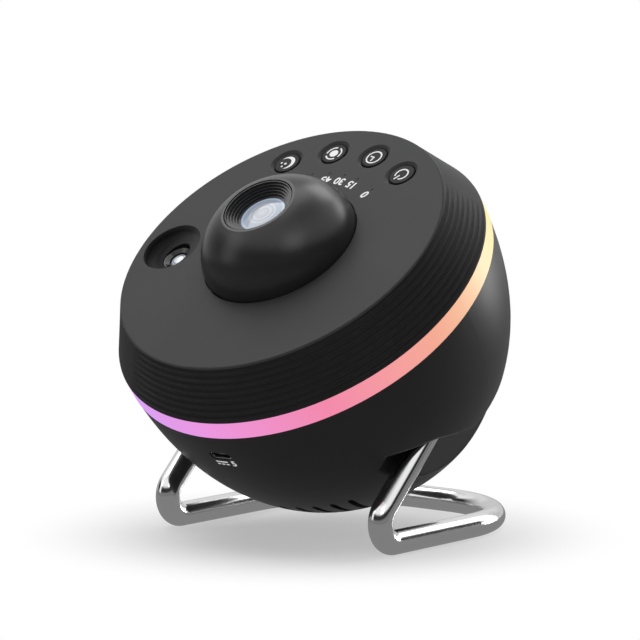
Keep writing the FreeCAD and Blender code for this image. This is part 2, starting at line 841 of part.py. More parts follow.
def cover_holes():
    holes = [cylinder(dome_hole, plate_under - past, plate_level + past), scoop(0.0)]
    holes.append(cylinder(nebula_hole, tube_flange_level - past, plate_level, *nebula_centre()))
    notch = 2 * (focus_turn + stop_play) + stop_width
    outer = stop_radius + turn_play
    holes.append(sector(spacer_inner - root, outer, retainer_top - past, plate_under, stop_angle, notch))
    for angle in button_angles():
        x, y = polar(button_circle, angle)
        radius = button_radius + button_gap
        height = well_depth + past
        wide = radius + well_reach * height / well_depth
        holes.append(cylinder(radius, plate_under - past, plate_level + past, x, y))
        holes.append(Part.makeCone(radius, wide, height, Vector(x, y, plate_level - well_depth)))
    for angle in indicator_angles():
        x, y = polar(indicator_circle, angle)
        holes.append(cylinder(indicator_radius, plate_under - past, plate_level + past, x, y))
    for x, y in board_posts():
        holes.append(cylinder(screw_radius, switch_bottom - past, switch_bottom + post_bore_depth, x, y))
    for angle in retainer_angles:
        x, y = polar(retainer_screw_circle, angle)
        holes.append(cylinder(screw_radius, retainer_top - past, plate_under + root, x, y))
    return holes


def top_cover():
    return joined(cover_body(), cover_fittings()).cut(cover_holes())


# ---- the turret -----------------------------------------------------------------------------------


def dome_cap(shrink, lip):
    """The turret's rounded form above the plate, cut off at the lip radius."""
    radius = dome_radius - shrink
    rise = dome_rise - shrink
    top = rise * math.sqrt(1.0 - (lip / radius) ** 2)
    profile = [(r, plate_level + z) for r, z in swelled(radius, rise, 2.0, 0.0, top)]
    return crowned(profile, radius, flange_bottom)


def cam_groove(start):
    """A helical groove in the collar for one pin of the barrel, with the slot that lets the pin in."""
    rise = focus_travel / math.radians(focus_turn)
    below = math.radians(focus_turn + cam_end)
    above = math.radians(focus_turn + cam_entry + cam_end)
    half = cam_pin_radius + cam_play
    depth = barrel_radius + cam_pin_reach + turn_play
    section = [Vector(barrel_radius, 0, -half), Vector(depth, 0, -half), Vector(depth, 0, half),
               Vector(barrel_radius, 0, half)]
    path = Part.makeHelix(2 * math.pi * rise, rise * (below + above), barrel_radius)
    groove_bar = Part.Wire(path.Edges).makePipeShell([Part.makePolygon(section + section[:1])], True, True)
    groove_bar = groove_bar.mirror(Vector(0, 0, 0), Vector(0, 1, 0))
    groove_bar = turn(groove_bar, start + math.degrees(below))
    groove_bar.translate(Vector(0, 0, cam_level - rise * below))
    top = cam_level + rise * math.radians(focus_turn + cam_entry)
    entry = block(barrel_radius, depth, -half, half, lip_level - collar_length - past, top)
    return [groove_bar, turn(entry, start - focus_turn - cam_entry)]


def focus_dome():
    """The turret, with a stop tab on its flange and the collar that turns round the barrel."""
    cap = dome_cap(0.0, lip_radius)
    cap = rounded(cap, lip_round, circle_at(lip_radius, lip_level))
    tab = sector(flange_radius - root, stop_radius, flange_bottom, flange_top, stop_angle, stop_width)
    cap = joined(cap, [cylinder(flange_radius, flange_bottom, flange_top), tab])
    bore = barrel_radius + barrel_play
    collar = cylinder(bore + collar_wall, lip_level - collar_length, lip_level)
    cavity = dome_cap(dome_wall, bore + collar_wall / 2).cut(collar)
    opening = cylinder(bore, flange_bottom - past, lip_level + past)
    grooves = [cutter for angle in cam_angles for cutter in cam_groove(angle)]
    return cap.cut([cavity, opening] + grooves)


def dome_retainer():
    ring = tube(retainer_radius, dome_radius - dome_wall, retainer_top - retainer_thickness, retainer_top)
    holes = []
    low = retainer_top - retainer_thickness - past
    for angle in retainer_angles:
        x, y = polar(retainer_screw_circle, angle)
        holes.append(cylinder(screw_radius, low, retainer_top + past, x, y))
    return ring.cut(holes)


def retainer_screws():
    seat = retainer_top - retainer_thickness
    length = plate_under - seat - turn_play
    places = [polar(retainer_screw_circle, angle) for angle in retainer_angles]
    return [screw(x, y, seat, length, down=False) for x, y in places]


def lens_barrel():
    """The lens tube: stepped inside its mouth, with two keys and the two pins that the turret moves."""
    outline = [(barrel_radius, barrel_bottom), (barrel_radius, barrel_top)]
    mouth = barrel_radius - barrel_rim
    step = (mouth - lens_view) / barrel_steps
    for k in range(barrel_steps):
        level = barrel_top - k * barrel_step
        outline.append((mouth - k * step, level))
        outline.append((mouth - k * step, level - barrel_step))
    seat = barrel_bottom + barrel_floor
    outline += [(lens_view, lens_top + barrel_ledge), (lens_view, lens_top), (barrel_bore, lens_top)]
    outline += [(barrel_bore, seat), (lens_view, seat), (lens_view, barrel_bottom)]
    start = barrel_radius - root
    key = block(start, barrel_radius + key_reach, -key_width / 2, key_width / 2, barrel_bottom,
                barrel_bottom + key_height)
    foot = Vector(start, 0, cam_level)
    pin = Part.makeCylinder(cam_pin_radius, root + cam_pin_reach, foot, Vector(1, 0, 0))
    return joined(turned(outline), [turn(piece, angle) for piece in (key, pin) for angle in cam_angles])


def front_lens():
    return lens(lens_radius, lens_edge, lens_crown, lens_bottom)


def lens_lock_ring():
    bottom = lens_bottom - lock_ring_height
    return tube(barrel_bore - lens_press, lens_radius - lock_ring_wall, bottom, lens_bottom)


def rear_lens():
    return lens(lens_radius, rear_lens_edge, lens_crown, barrel_bottom + barrel_floor)


def lens_guide():
    """The tube in which the barrel slides, on a bridge over the film carrier."""
    inner = barrel_radius + barrel_play
    outer = inner + guide_wall
    top = lip_level - collar_length - guide_gap
    guide = tube(outer, inner, guide_bottom, top)
    plate = tube(bridge_radius, inner, guide_bottom, bridge_top)
    rib_inner = film_radius + thrust_rib
    rib = tube(rib_inner + thrust_rib, rib_inner, carrier_top + wheel_play, guide_bottom + root)
    parts = [plate, rib]
    for angle in leg_angles:
        x, y = polar(leg_circle, angle)
        arm = block(bridge_radius - 2 * past, leg_circle, -leg_radius, leg_radius, guide_bottom, bridge_top)
        parts.append(turn(arm, angle))
        parts.append(cylinder(leg_radius, frame_top, bridge_top, x, y))
    guide = joined(guide, parts)
    half = key_width / 2 + key_play
    slots = block(-outer - past, outer + past, -half, half, guide_bottom + bridge_key_start, top + past)
    places = [polar(leg_circle, angle) for angle in leg_angles]
    holes = [cylinder(screw_radius, frame_top - past, guide_bottom + past, x, y) for x, y in places]
    return guide.cut([slots] + holes)


# ---- control panel --------------------------------------------------------------------------------


def button(angle):
    """A cap with a rounded top edge, a keeping flange under the plate and a stem."""
    x, y = polar(button_circle, angle)
    cap = cylinder(button_radius, flange_face, button_top, x, y)
    cap = rounded(cap, button_round, circle_at_top(button_top))
    bottom = flange_face - button_flange_height
    flange = cylinder(button_radius + button_flange, bottom, flange_face, x, y)
    return joined(cap, [flange, cylinder(stem_radius, stem_end, bottom, x, y)])


def tact_switches():
    switches = []
    half = switch_size / 2
    for angle in button_angles():
        x, y = polar(button_circle, angle)
        body = turn(block(-half, half, -half, half, switch_bottom, switch_top), angle)
        body.translate(Vector(x, y, 0))
        well_bottom = stem_end - button_travel - well_play
        switches.append(body.cut(cylinder(stem_radius + switch_play, well_bottom, switch_top + past, x, y)))
    return switches


def control_board():
    """A curved board under the buttons, carried by three posts of the cover."""
    width = 2 * board_half_angle
    board = sector(board_inner, board_outer, board_under, switch_bottom, panel_middle, width)
    half = small_led / 2
    low = switch_bottom - root
    high = switch_bottom + led_height
    chip = block(indicator_circle - half, indicator_circle + half, -half, half, low, high)
    board = joined(board, [turn(chip, angle) for angle in indicator_angles()])
    low = board_under - past
    high = switch_bottom + past
    return board.cut([cylinder(screw_radius, low, high, x, y) for x, y in board_posts()])


def control_screws():
    return [screw(x, y, board_under, pcb_thickness + screw_bite, down=False) for x, y in board_posts()]


def indicator_pipes():
    pipes = []
    bottom = switch_bottom + led_height
    for angle in indicator_angles():
        x, y = polar(indicator_circle, angle)
        stalk = cylinder(indicator_radius - pipe_play, bottom, plate_level - pipe_drop, x, y)
        pipes.append(joined(stalk, [cylinder(pipe_foot, bottom, plate_under, x, y)]))
    return pipes


# ---- nebula optics --------------------------------------------------------------------------------


def nebula_bezel():
    x, y = nebula_centre()
    ring = tube(bezel_radius, nebula_lens_radius + lens_press, bezel_bottom, bezel_top, x, y)
    slope = (bezel_radius - bezel_rim - nebula_lens_radius) / bezel_mouth
    wide = bezel_radius - bezel_rim + slope * past
    foot = Vector(x, y, bezel_top - bezel_mouth)
    mouth = Part.makeCone(nebula_lens_radius, wide, bezel_mouth + past, foot)
    return ring.cut(mouth)


def nebula_lens():
    return lens(nebula_lens_radius, nebula_lens_edge, nebula_lens_crown, bezel_bottom, *nebula_centre())


def nebula_tube():
    """Holds the small lens up to its hole and the light path down to the ripple disc."""
    x, y = nebula_centre()
    bottom = ripple_top + nebula_gap
    flange_bottom = tube_flange_level - tube_flange_thickness
    upper = cylinder(nebula_hole - turn_play / 2, flange_bottom, bezel_bottom, x, y)
    flange = cylinder(tube_flange, flange_bottom, tube_flange_level, x, y)
    whole = joined(upper, [flange, cylinder(tube_radius, bottom, tube_flange_level, x, y)])
    bore = cylinder(tube_bore, bottom - past, tube_flange_level, x, y)
    mouth = cylinder(nebula_lens_radius - nebula_lens_lip, bottom, bezel_bottom + past, x, y)
    return whole.cut([bore, mouth])


def ripple_centre():
    x, y = nebula_centre()
    dx, dy = polar(ripple_offset, ripple_turn)
    return x + dx, y + dy


def ripple_disc():
    x, y = ripple_centre()
    bottom = ripple_level - ripple_hub_below
    top = ripple_top + ripple_hub_above
    disc = cylinder(ripple_radius, ripple_level, ripple_top, x, y)
    hub = cylinder(ripple_hub_radius, bottom, top, x, y)
    return joined(disc, [hub]).cut(cylinder(ripple_shaft_radius, bottom - past, top + past, x, y))


def ripple_shaft():
    return cylinder(ripple_shaft_radius, ripple_motor_top - shaft_in_motor, ripple_top + ripple_hub_above,
                    *ripple_centre())


def ripple_motor():
    x, y = ripple_centre()
    can_bottom = ripple_motor_top - ripple_motor_height
    can = cylinder(ripple_motor_radius, can_bottom, ripple_motor_top, x, y)
    flange_end = frame_top + motor_flange_thickness
    flange = cylinder(ripple_motor_radius + motor_flange, frame_top, flange_end, x, y)
    well_bottom = ripple_motor_top - shaft_in_motor - motor_well_play
    well = cylinder(ripple_shaft_radius + wheel_play, well_bottom, ripple_motor_top + past, x, y)
    return joined(can, [flange]).cut(well)


def nebula_light():
    """A small round board with its light chip, on a post of the frame."""
    x, y = nebula_centre()
    top = ripple_level - nebula_board_drop
    board = cylinder(nebula_board_radius, top - nebula_board_thickness, top, x, y)
    half = led_size / 2
    return joined(board, [block(x - half, x + half, y - half, y + half, top - root, top + led_height)])


# ---- light engine ---------------------------------------------------------------------------------


def optics_frame():
    """The chassis disc, with the rib that keeps the film carrier level and the nebula light's post."""
    plate = cylinder(bowl_radius(shell_wall, frame_level) - frame_gap, frame_level, frame_top)
    rib_outer = film_radius + 2 * thrust_rib
    rib = tube(rib_outer, rib_outer - thrust_rib, frame_top - root, carrier_bottom - wheel_play)
    post_top = ripple_level - nebula_board_drop - nebula_board_thickness
    plate = joined(plate, [rib, cylinder(nebula_post_radius, frame_top - root, post_top, *nebula_centre())])
    bottom = frame_level - past
    top = frame_top + past
    holes = [cylinder(frame_hole, bottom, top)]
    holes.append(cylinder(ripple_motor_radius + motor_hole_play, bottom, top, *ripple_centre()))
    holes.append(cylinder(shaft_radius + 3 * wheel_play, bottom, top, *polar(gear_distance, drive_angle)))
    holes += [cylinder(screw_radius, bottom, top, *polar(leg_circle, angle)) for angle in leg_angles]
    places = [polar(lamp_screw_circle, angle) for angle in lamp_screw_angles]
    holes += [cylinder(screw_radius, bottom, frame_top, x, y) for x, y in places]
    holes += [cylinder(frame_screw_radius, bottom, top, x, y) for x, y in frame_posts()]
    half = usb_board_width / 2 + frame_notch
    holes.append(block(-half, half, -ball_radius, usb_board_end() + frame_notch, bottom, top))
    return plate.cut(holes)


def frame_screws():
    length = frame_thickness + frame_screw_length - screw_tip_play
    return [screw(x, y, frame_top, length, frame_screw_radius) for x, y in frame_posts()]


def guide_screws():
    places = [polar(leg_circle, angle) for angle in leg_angles]
    return [screw(x, y, frame_level, frame_thickness + screw_bite, down=False) for x, y in places]


def toothed(teeth, bottom, top, first_angle, x=0.0, y=0.0):
    """A spur wheel with straight-sided teeth, one of them pointing at first_angle."""
    pitch_radius = teeth * tooth_module / 2
    pitch = 360.0 / teeth
    tip = pitch_radius + tooth_tip * tooth_module
    foot = pitch_radius - tooth_root * tooth_module
    flank = [(foot, -tooth_root_share), (tip, -tooth_tip_share)]
    flank += [(tip, tooth_tip_share), (foot, tooth_root_share)]
    corners = []
    for k in range(teeth):
        middle = first_angle + k * pitch
        for radius, share in flank:
            px, py = polar(radius, middle + share * pitch)
            corners.append(Vector(x + px, y + py, bottom))
    return closed(corners).extrude(Vector(0, 0, top - bottom))


def film_carrier():
    """The toothed ring that the film disc lies in, with a spigot that turns in the frame's hole."""
    wheel = toothed(carrier_teeth, carrier_bottom, carrier_top, drive_angle)
    spigot = cylinder(frame_hole - spigot_play, frame_level + spigot_play, carrier_bottom + root)
    holes = [cylinder(frame_hole - carrier_step, frame_level - past, carrier_top + past),
             cylinder(film_radius + lens_press, film_level, carrier_top + past)]
    return joined(wheel, [spigot]).cut(holes)


def film_disc():
    return cylinder(film_radius, film_level, film_level + film_thickness)


def drive_pinion():
    x, y = polar(gear_distance, drive_angle)
    first = drive_angle + 180.0 + 180.0 / pinion_teeth
    wheel = toothed(pinion_teeth, carrier_bottom + pinion_lift, carrier_top + pinion_lift, first, x, y)
    return wheel.cut(cylinder(shaft_radius, carrier_bottom - past, carrier_top + past, x, y))


def motor_shaft():
    x, y = polar(gear_distance, drive_angle)
    return cylinder(shaft_radius, frame_level - disc_shaft_in_motor, carrier_top + pinion_lift, x, y)


def disc_motor():
    x, y = polar(gear_distance, drive_angle)
    bottom = frame_level - motor_height
    can = cylinder(motor_radius, bottom, frame_level, x, y)
    can = rounded(can, motor_round, lambda edge: edge.BoundBox.ZMax < bottom + root)
    well = frame_level - disc_shaft_in_motor - motor_well_play
    return can.cut(cylinder(shaft_radius + wheel_play, well, frame_level + past, x, y))


def lamp_tube():
    """Carries the condenser lens and the light board under the frame's hole."""
    wall = tube(lamp_outer, lamp_inner, lamp_bottom, frame_level)
    flange = tube(lamp_outer + lamp_flange, lamp_inner, frame_level - lamp_flange_thickness, frame_level)
    seat = condenser_level - condenser_seat
    lip = tube(lamp_inner + root, lamp_inner - condenser_lip, seat, condenser_level)
    places = [polar(lamp_screw_circle, angle) for angle in lamp_screw_angles]
    bottom = frame_level - lamp_flange_thickness - past
    holes = [cylinder(screw_radius, bottom, frame_level + past, x, y) for x, y in places]
    return joined(wall, [flange, lip]).cut(holes)


def lamp_screws():
    places = [polar(lamp_screw_circle, angle) for angle in lamp_screw_angles]
    length = lamp_flange_thickness + frame_thickness
    return [screw(x, y, frame_level - lamp_flange_thickness, length, down=False) for x, y in places]


def condenser_lens():
    return lens(condenser_radius, condenser_edge, condenser_crown, condenser_level)


def projection_light():
    """The board with the projection light, on the heat sink."""
    board_top = lamp_bottom + pcb_thickness
    half = lamp_chip / 2
    chip = block(-half, half, -half, half, board_top - root, board_top + lamp_chip_height)
    return joined(cylinder(condenser_radius - spigot_play, lamp_bottom, board_top), [chip])


def heat_sink():
    base_bottom = lamp_bottom - sink_base
    disc = cylinder(sink_radius, base_bottom - fin_height, base_bottom + root)
    first = fin_edge - sink_radius
    pitch = -2 * first / (fin_count - 1)
    half = fin_thickness / 2
    fins = []
    fin_end = base_bottom - fin_height
    for k in range(fin_count):
        x = first + k * pitch
        fin = block(x - half, x + half, -sink_radius, sink_radius, fin_end, base_bottom + root)
        fins.append(fin.common(disc))
    return joined(cylinder(sink_radius, base_bottom, lamp_bottom), fins)


# ---- electronics and speaker ----------------------------------------------------------------------


def main_board():
    top = board_level + pcb_thickness
    board = block(-board_length / 2, board_length / 2, -board_width / 2, board_width / 2, board_level, top)
    places = main_board_posts()
    return board.cut([cylinder(screw_radius, board_level - past, top + past, x, y) for x, y in places])


def board_screws():
    length = pcb_thickness + board_hole_depth - screw_tip_play
    return [screw(x, y, board_level + pcb_thickness, length) for x, y in main_board_posts()]


def board_parts():
    """Controller, sound chip, two capacitors and two plugs under the main board."""
    post_x, post_y = main_board_posts()[-1]
    low = board_level - chip_height
    half = chip_size / 2
    controller = block(-half, half, chip_y, chip_y + chip_size, low, board_level)
    sound_chip = block(half - post_x, chip_size - post_x, -half, 0.0, low, board_level)
    low = board_level - tall_part
    capacitors = [cylinder(capacitor_radius, low, board_level, x, -post_y)
                  for x in (chip_size, chip_size + 3 * capacitor_radius)]
    plugs = [block(x, x + plug_length, plug_width, 2 * plug_width, low, board_level)
             for x in (post_x - plug_length - plug_width / 2, -post_x)]
    return [controller, sound_chip] + capacitors + plugs


def speaker_basket():
    low = speaker_seat_level
    high = low + speaker_depth
    neck = magnet_radius - past
    outline = [(speaker_radius, low), (speaker_radius, low + basket_wall)]
    outline += [(speaker_radius - basket_flat, low + basket_wall), (neck, high), (0, high)]
    outline += [(0, high - basket_wall), (neck - basket_wall / 2, high - basket_wall)]
    return turned(outline + [(speaker_radius - basket_rim, low)])


def speaker_cone():
    """The paper cone with its dust cap, hung in the basket's rim."""
    low = speaker_seat_level
    rim = speaker_radius - basket_rim
    cap = low + cone_depth
    crown = cap - cone_thickness
    inner = dust_cap_radius / 2
    outline = [(rim, low), (rim - cone_thickness, low), (dust_cap_radius, cap), (inner, crown), (0, crown)]
    outline += [(0, cap), (inner, cap)]
    return turned(outline + [(dust_cap_radius, cap + cone_thickness)])


def speaker_magnet():
    low = speaker_seat_level + speaker_depth
    magnet = cylinder(magnet_radius, low, low + magnet_height)
    return rounded(magnet, magnet_round, lambda edge: edge.BoundBox.ZMin > low + past)


def usb_socket():
    """The inlet's metal mouth with its tongue."""
    mouth = usb_inset - bowl_radius(0.0, usb_level)
    half = usb_width
    keep = block(-half, half, mouth, mouth + usb_depth, usb_level - half, usb_level + half)
    hollow = block(-half, half, mouth - past, mouth + usb_depth - past, usb_level - half, usb_level + half)
    body = usb_opening(0.0).common(keep)
    cavity = usb_opening(-usb_shell).common(hollow)
    wide = usb_tongue_width / 2
    thick = usb_tongue_thickness / 2
    end = mouth + usb_depth - past / 2
    tongue = block(-wide, wide, mouth + past, end, usb_level - thick, usb_level + thick)
    return joined(body.cut(cavity), [tongue])


def usb_board():
    top = usb_level - usb_height / 2
    half = usb_board_width / 2
    start = usb_board_start - bowl_radius(shell_wall, usb_level)
    return block(-half, half, start, usb_board_end(), top - pcb_thickness, top)


# ---- tilt pivots ----------------------------------------------------------------------------------


def pivot_bush(side):
    """A flanged bush in the shell's boss that the journal turns in."""
    face = boss_end - bush_flange_thickness
    sleeve = cross_pin(bush_outer, side * boss_end, side * (facet_x - shell_wall))
    flange = cross_pin(bush_outer + bush_flange, side * face, side * boss_end)
    hole = cross_pin(journal_radius + journal_play, side * (face - past), side * facet_x)
    return joined(sleeve, [flange]).cut(hole)


def friction_washer(side):
    face = boss_end - bush_flange_thickness
    washer = cross_pin(bush_outer + washer_reach, side * (face - washer_thickness), side * face)
    inner = face - washer_thickness
    hole = cross_pin(journal_radius + journal_play, side * (inner - past), side * (face + past))
    return washer.cut(hole)


def nut_face():
    return boss_end - bush_flange_thickness - washer_thickness - stack_play


def lock_nut(side):
    """A hexagon nut on the journal's thread."""
    corners = []
    for k in range(6):
        dy, dz = polar(nut_radius, 60.0 * k)
        corners.append(Vector(side * nut_face(), pivot_y + dy, pivot_level + dz))
    nut = closed(corners).extrude(Vector(-side * nut_height, 0, 0))
    hole = cross_pin(journal_radius, side * (nut_face() - nut_height - past), side * (nut_face() + past))
    return nut.cut(hole)


def rod_direction():
    """From the tilt axis down the leg, in the stand frame."""
    angle = math.radians(rod_lean)
    return Vector(0, -math.sin(angle), -math.cos(angle))


def pivot_point():
    return head(Part.Vertex(0, pivot_y, pivot_level)).Point


def pivot_knuckle(side):
    """The hub on the rod's end, in one piece with the journal that goes through the recess wall."""
    inner = facet_x + hub_gap
    outer = 2 * rod_spread - inner
    hub = cross_pin(barrel_hub_radius, side * inner, side * outer)
    hub = rounded(hub, hub_round, lambda edge: edge.BoundBox.XLength < root)
    journal = cross_pin(journal_radius, side * (nut_face() - nut_height - thread_end), side * (inner + past))
    whole = head(joined(hub, [journal]))
    start = pivot_point() + Vector(side * rod_spread, 0, 0) + rod_direction() * rod_socket
    return whole.cut(Part.makeCylinder(rod_radius, 2 * barrel_hub_radius, start, rod_direction()))


# ---- the stand ------------------------------------------------------------------------------------


def bent_wire(points, radii):
    """A line through the points with a tangent arc of the given radius at each inner one."""
    edges = []
    start = points[0]
    for k in range(1, len(points) - 1):
        corner = points[k]
        back = (points[k - 1] - corner).normalize()
        onward = (points[k + 1] - corner).normalize()
        half = back.getAngle(onward) / 2
        reach = radii[k - 1] / math.tan(half)
        first = corner + back * reach
        last = corner + onward * reach
        middle_way = (back + onward).normalize()
        centre = corner + middle_way * (radii[k - 1] / math.sin(half))
        middle = centre - middle_way * radii[k - 1]
        edges.append(Part.makeLine(start, first))
        edges.append(Part.Arc(first, middle, last).toShape())
        start = last
    edges.append(Part.makeLine(start, points[-1]))
    return Part.Wire(edges)


def stand_rod():
    """One rod: down a leg, along the floor, round the back and up the other leg."""
    pivot = pivot_point()
    drop = (pivot.z - rod_radius) / math.cos(math.radians(rod_lean))
    right = Vector(rod_spread, 0, 0)
    top = pivot + rod_direction() * rod_socket
    front = pivot + rod_direction() * drop
    rear = Vector(0, stand_back, rod_radius)
    points = [top - right, front - right, rear - right, rear + right, front + right, top + right]
    path = bent_wire(points, [front_bend, rear_bend, rear_bend, front_bend])
    section = Part.Wire(Part.makeCircle(rod_radius, points[0], rod_direction()))
    return path.makePipeShell([section], True, False)


# ---- all pieces -----------------------------------------------------------------------------------


def save(name, shapes):
    """Write one named piece, or a group of separate solids under one name."""
    shape = shapes[0] if len(shapes) == 1 else Part.makeCompound(shapes)
    shape.exportStep("parts/" + name + ".step")


button_names = ("moon_button", "scene_button", "timer_button", "power_button")


def build():
    os.makedirs("parts", exist_ok=True)
    single = {
        "lower_shell": lower_shell, "light_ring": light_ring, "ring_led_strip": ring_led_strip,
        "top_cover": top_cover, "focus_dome": focus_dome, "dome_retainer": dome_retainer,
        "lens_barrel": lens_barrel, "front_lens": front_lens, "lens_lock_ring": lens_lock_ring,
        "rear_lens": rear_lens, "lens_guide": lens_guide, "control_board": control_board,
        "nebula_bezel": nebula_bezel, "nebula_lens": nebula_lens, "nebula_tube": nebula_tube,
        "ripple_disc": ripple_disc, "ripple_shaft": ripple_shaft, "ripple_motor": ripple_motor,
        "nebula_light": nebula_light, "optics_frame": optics_frame, "film_carrier": film_carrier,
        "film_disc": film_disc, "drive_pinion": drive_pinion, "motor_shaft": motor_shaft,
        "disc_motor": disc_motor, "lamp_tube": lamp_tube, "condenser_lens": condenser_lens,
        "projection_light": projection_light, "heat_sink": heat_sink, "main_board": main_board,
        "speaker_basket": speaker_basket, "speaker_cone": speaker_cone, "speaker_magnet": speaker_magnet,
        "usb_socket": usb_socket, "usb_board": usb_board,
    }
    groups = {
        "retainer_screws": retainer_screws, "tact_switches": tact_switches, "control_screws": control_screws,
        "indicator_pipes": indicator_pipes, "frame_screws": frame_screws, "guide_screws": guide_screws,
        "lamp_screws": lamp_screws, "board_screws": board_screws, "board_parts": board_parts,
    }
    for name, make in single.items():
        save(name, [head(make())])
    for name, make in groups.items():
        save(name, [head(piece) for piece in make()])
    for name, angle in zip(button_names, button_angles()):
        save(name, [head(button(angle))])
    for word, side in zip(("left", "right"), sides):
        save("pivot_bush_" + word, [head(pivot_bush(side))])
        save("friction_washer_" + word, [head(friction_washer(side))])
        save("lock_nut_" + word, [head(lock_nut(side))])
        save("pivot_knuckle_" + word, [pivot_knuckle(side)])
    save("stand_rod", [stand_rod()])


build()
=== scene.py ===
"""Looks for the planetarium projector: materials, printed symbols, stage and camera.

Ball frame: x to the side, y uphill along the slanted plate, level along the beam, from the
ball's centre, in millimetres. at() turns it into the row frame, in metres.
"""
import json
import math

import bpy
from mathutils import Matrix, Vector
from mathutils.bvhtree import BVHTree


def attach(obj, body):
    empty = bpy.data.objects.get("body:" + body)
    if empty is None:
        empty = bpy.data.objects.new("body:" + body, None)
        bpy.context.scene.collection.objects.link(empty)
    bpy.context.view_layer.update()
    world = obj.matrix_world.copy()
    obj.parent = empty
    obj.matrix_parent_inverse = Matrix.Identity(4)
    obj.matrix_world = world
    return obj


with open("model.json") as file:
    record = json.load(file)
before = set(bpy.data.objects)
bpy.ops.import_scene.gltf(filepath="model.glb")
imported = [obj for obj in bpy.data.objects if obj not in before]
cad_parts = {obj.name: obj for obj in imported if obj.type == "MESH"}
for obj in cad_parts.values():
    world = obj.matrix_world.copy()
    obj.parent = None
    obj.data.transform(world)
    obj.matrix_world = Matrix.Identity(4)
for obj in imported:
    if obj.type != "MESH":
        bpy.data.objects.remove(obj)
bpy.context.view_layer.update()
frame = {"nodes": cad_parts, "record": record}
nodes = frame["nodes"]

# ---- places as in the part, in millimetres and degrees -------------------------------------------

MM = 0.001
LEAN = math.radians(38.5)
CENTRE = Vector((0.0, -5.6, 82.6)) * MM
BEAM = Vector((0.0, -math.sin(LEAN), math.cos(LEAN)))
UPHILL = Vector((0.0, math.cos(LEAN), math.sin(LEAN)))
SIDE = Vector((1.0, 0.0, 0.0))
PLATE_LEVEL = 27.1
PANEL_MIDDLE = 87.0       # where the row of buttons has its middle
BUTTON_DROP = 0.45        # buttons' tops below the plate
BUTTON_CIRCLE = 49.4
BUTTON_PITCH = 21.9
INDICATOR_PITCH = 10.75
INDICATOR_LEAD = 1.5      # pitches from the first indicator to the panel's middle
INDICATOR_STEPS = (0.0, 1.0, 2.0, 3.0, 4.5)
PORT_LEVEL = -7.7
LENS_VIEW = 8.5           # radius of the front lens that is in view
NEBULA = (-45.12, -5.88)  # middle of the small lens, and its radius in view
NEBULA_VIEW = 3.55


def at(x, y, level):
    """A point of the ball frame, in the row frame."""
    return CENTRE + (SIDE * x + UPHILL * y + BEAM * level) * MM


def polar(radius, degrees):
    return radius * math.cos(math.radians(degrees)), radius * math.sin(math.radians(degrees))


# ---- node helpers --------------------------------------------------------------------------------

def add(tree, kind, links=None, **values):
    """A new node; values go to its attributes or inputs, links says what feeds its inputs."""
    node = tree.nodes.new(kind)
    for key, value in values.items():
        if hasattr(node, key):
            setattr(node, key, value)
        else:
            node.inputs[key.replace("_", " ")].default_value = value
    for key, socket in (links or {}).items():
        tree.links.new(socket, node.inputs[key])
    return node


def object_place(tree):
    return add(tree, "ShaderNodeTexCoord").outputs["Object"]


def noise(tree, place, scale, detail):
    return add(tree, "ShaderNodeTexNoise", {"Vector": place}, Scale=scale,
               Detail=detail).outputs["Fac"]


def spread(tree, source, low, high, **values):
    """A source of 0 to 1, or of the range in values, turned into low to high."""
    return add(tree, "ShaderNodeMapRange", {"Value": source}, To_Min=low, To_Max=high,
               **values).outputs["Result"]


def ramp(tree, source, stops):
    """A colour ramp with (position, colour) stops."""
    node = add(tree, "ShaderNodeValToRGB", {"Fac": source})
    elements = node.color_ramp.elements
    while len(elements) < len(stops):
        elements.new(0.5)
    for element, (position, colour) in zip(elements, stops):
        element.position = position
        element.color = (*colour, 1.0)
    return node.outputs["Color"]


def maths(tree, operation, source, number):
    node = add(tree, "ShaderNodeMath", {0: source}, operation=operation)
    node.inputs[1].default_value = number
    return node.outputs["Value"]


def scaled(tree, colour, share):
    return add(tree, "ShaderNodeVectorMath", {0: colour, "Scale": share},
               operation="SCALE").outputs["Vector"]


def leaning_place(tree, middle):
    """Place along the ball frame's directions, in metres from a point of the row frame."""
    return add(tree, "ShaderNodeMapping", {"Vector": object_place(tree)}, vector_type="TEXTURE",
               Location=middle, Rotation=(LEAN, 0.0, 0.0)).outputs["Vector"]


def off_beam(tree, place):
    """Distance of a leaning place from its origin, seen along the beam."""
    flat = add(tree, "ShaderNodeVectorMath", {0: place}, operation="MULTIPLY")
    flat.inputs[1].default_value = (1.0, 1.0, 0.0)
    return add(tree, "ShaderNodeVectorMath", {0: flat.outputs["Vector"]},
               operation="LENGTH").outputs["Value"]


# ---- kinds of material ---------------------------------------------------------------------------

MOTTLE_SCALE = 42.0       # noise scales are in waves per metre
MOTTLE_STOPS = (0.3, 0.7)
GLOSS_DRIFT = 0.05        # how far the roughness wanders
GRAIN_DEPTH = 0.00002
SMEAR_SCALE = 90.0
SMEAR_DRIFT = 0.02
BRUSH_SCALES = (60.0, 60.0, 4000.0)
BRUSH_DEPTH = 0.00001


def material(name, colour, roughness, **values):
    """A new Principled material, and its tree and shader."""
    made = bpy.data.materials.new(name)
    made.use_nodes = True
    shader = made.node_tree.nodes["Principled BSDF"]
    shader.inputs["Base Color"].default_value = (*colour, 1.0)
    shader.inputs["Roughness"].default_value = roughness
    for key, value in values.items():
        shader.inputs[key.replace("_", " ")].default_value = value
    return made, made.node_tree, shader


def drift_gloss(tree, shader, source, roughness, drift):
    wandering = spread(tree, source, roughness - drift, roughness + drift)
    tree.links.new(wandering, shader.inputs["Roughness"])


def emboss(tree, shader, height, strength, depth):
    bump = add(tree, "ShaderNodeBump", {"Height": height}, Strength=strength, Distance=depth)
    tree.links.new(bump.outputs["Normal"], shader.inputs["Normal"])


def shade(colour, factor):
    return tuple(min(1.0, channel * factor) for channel in colour)


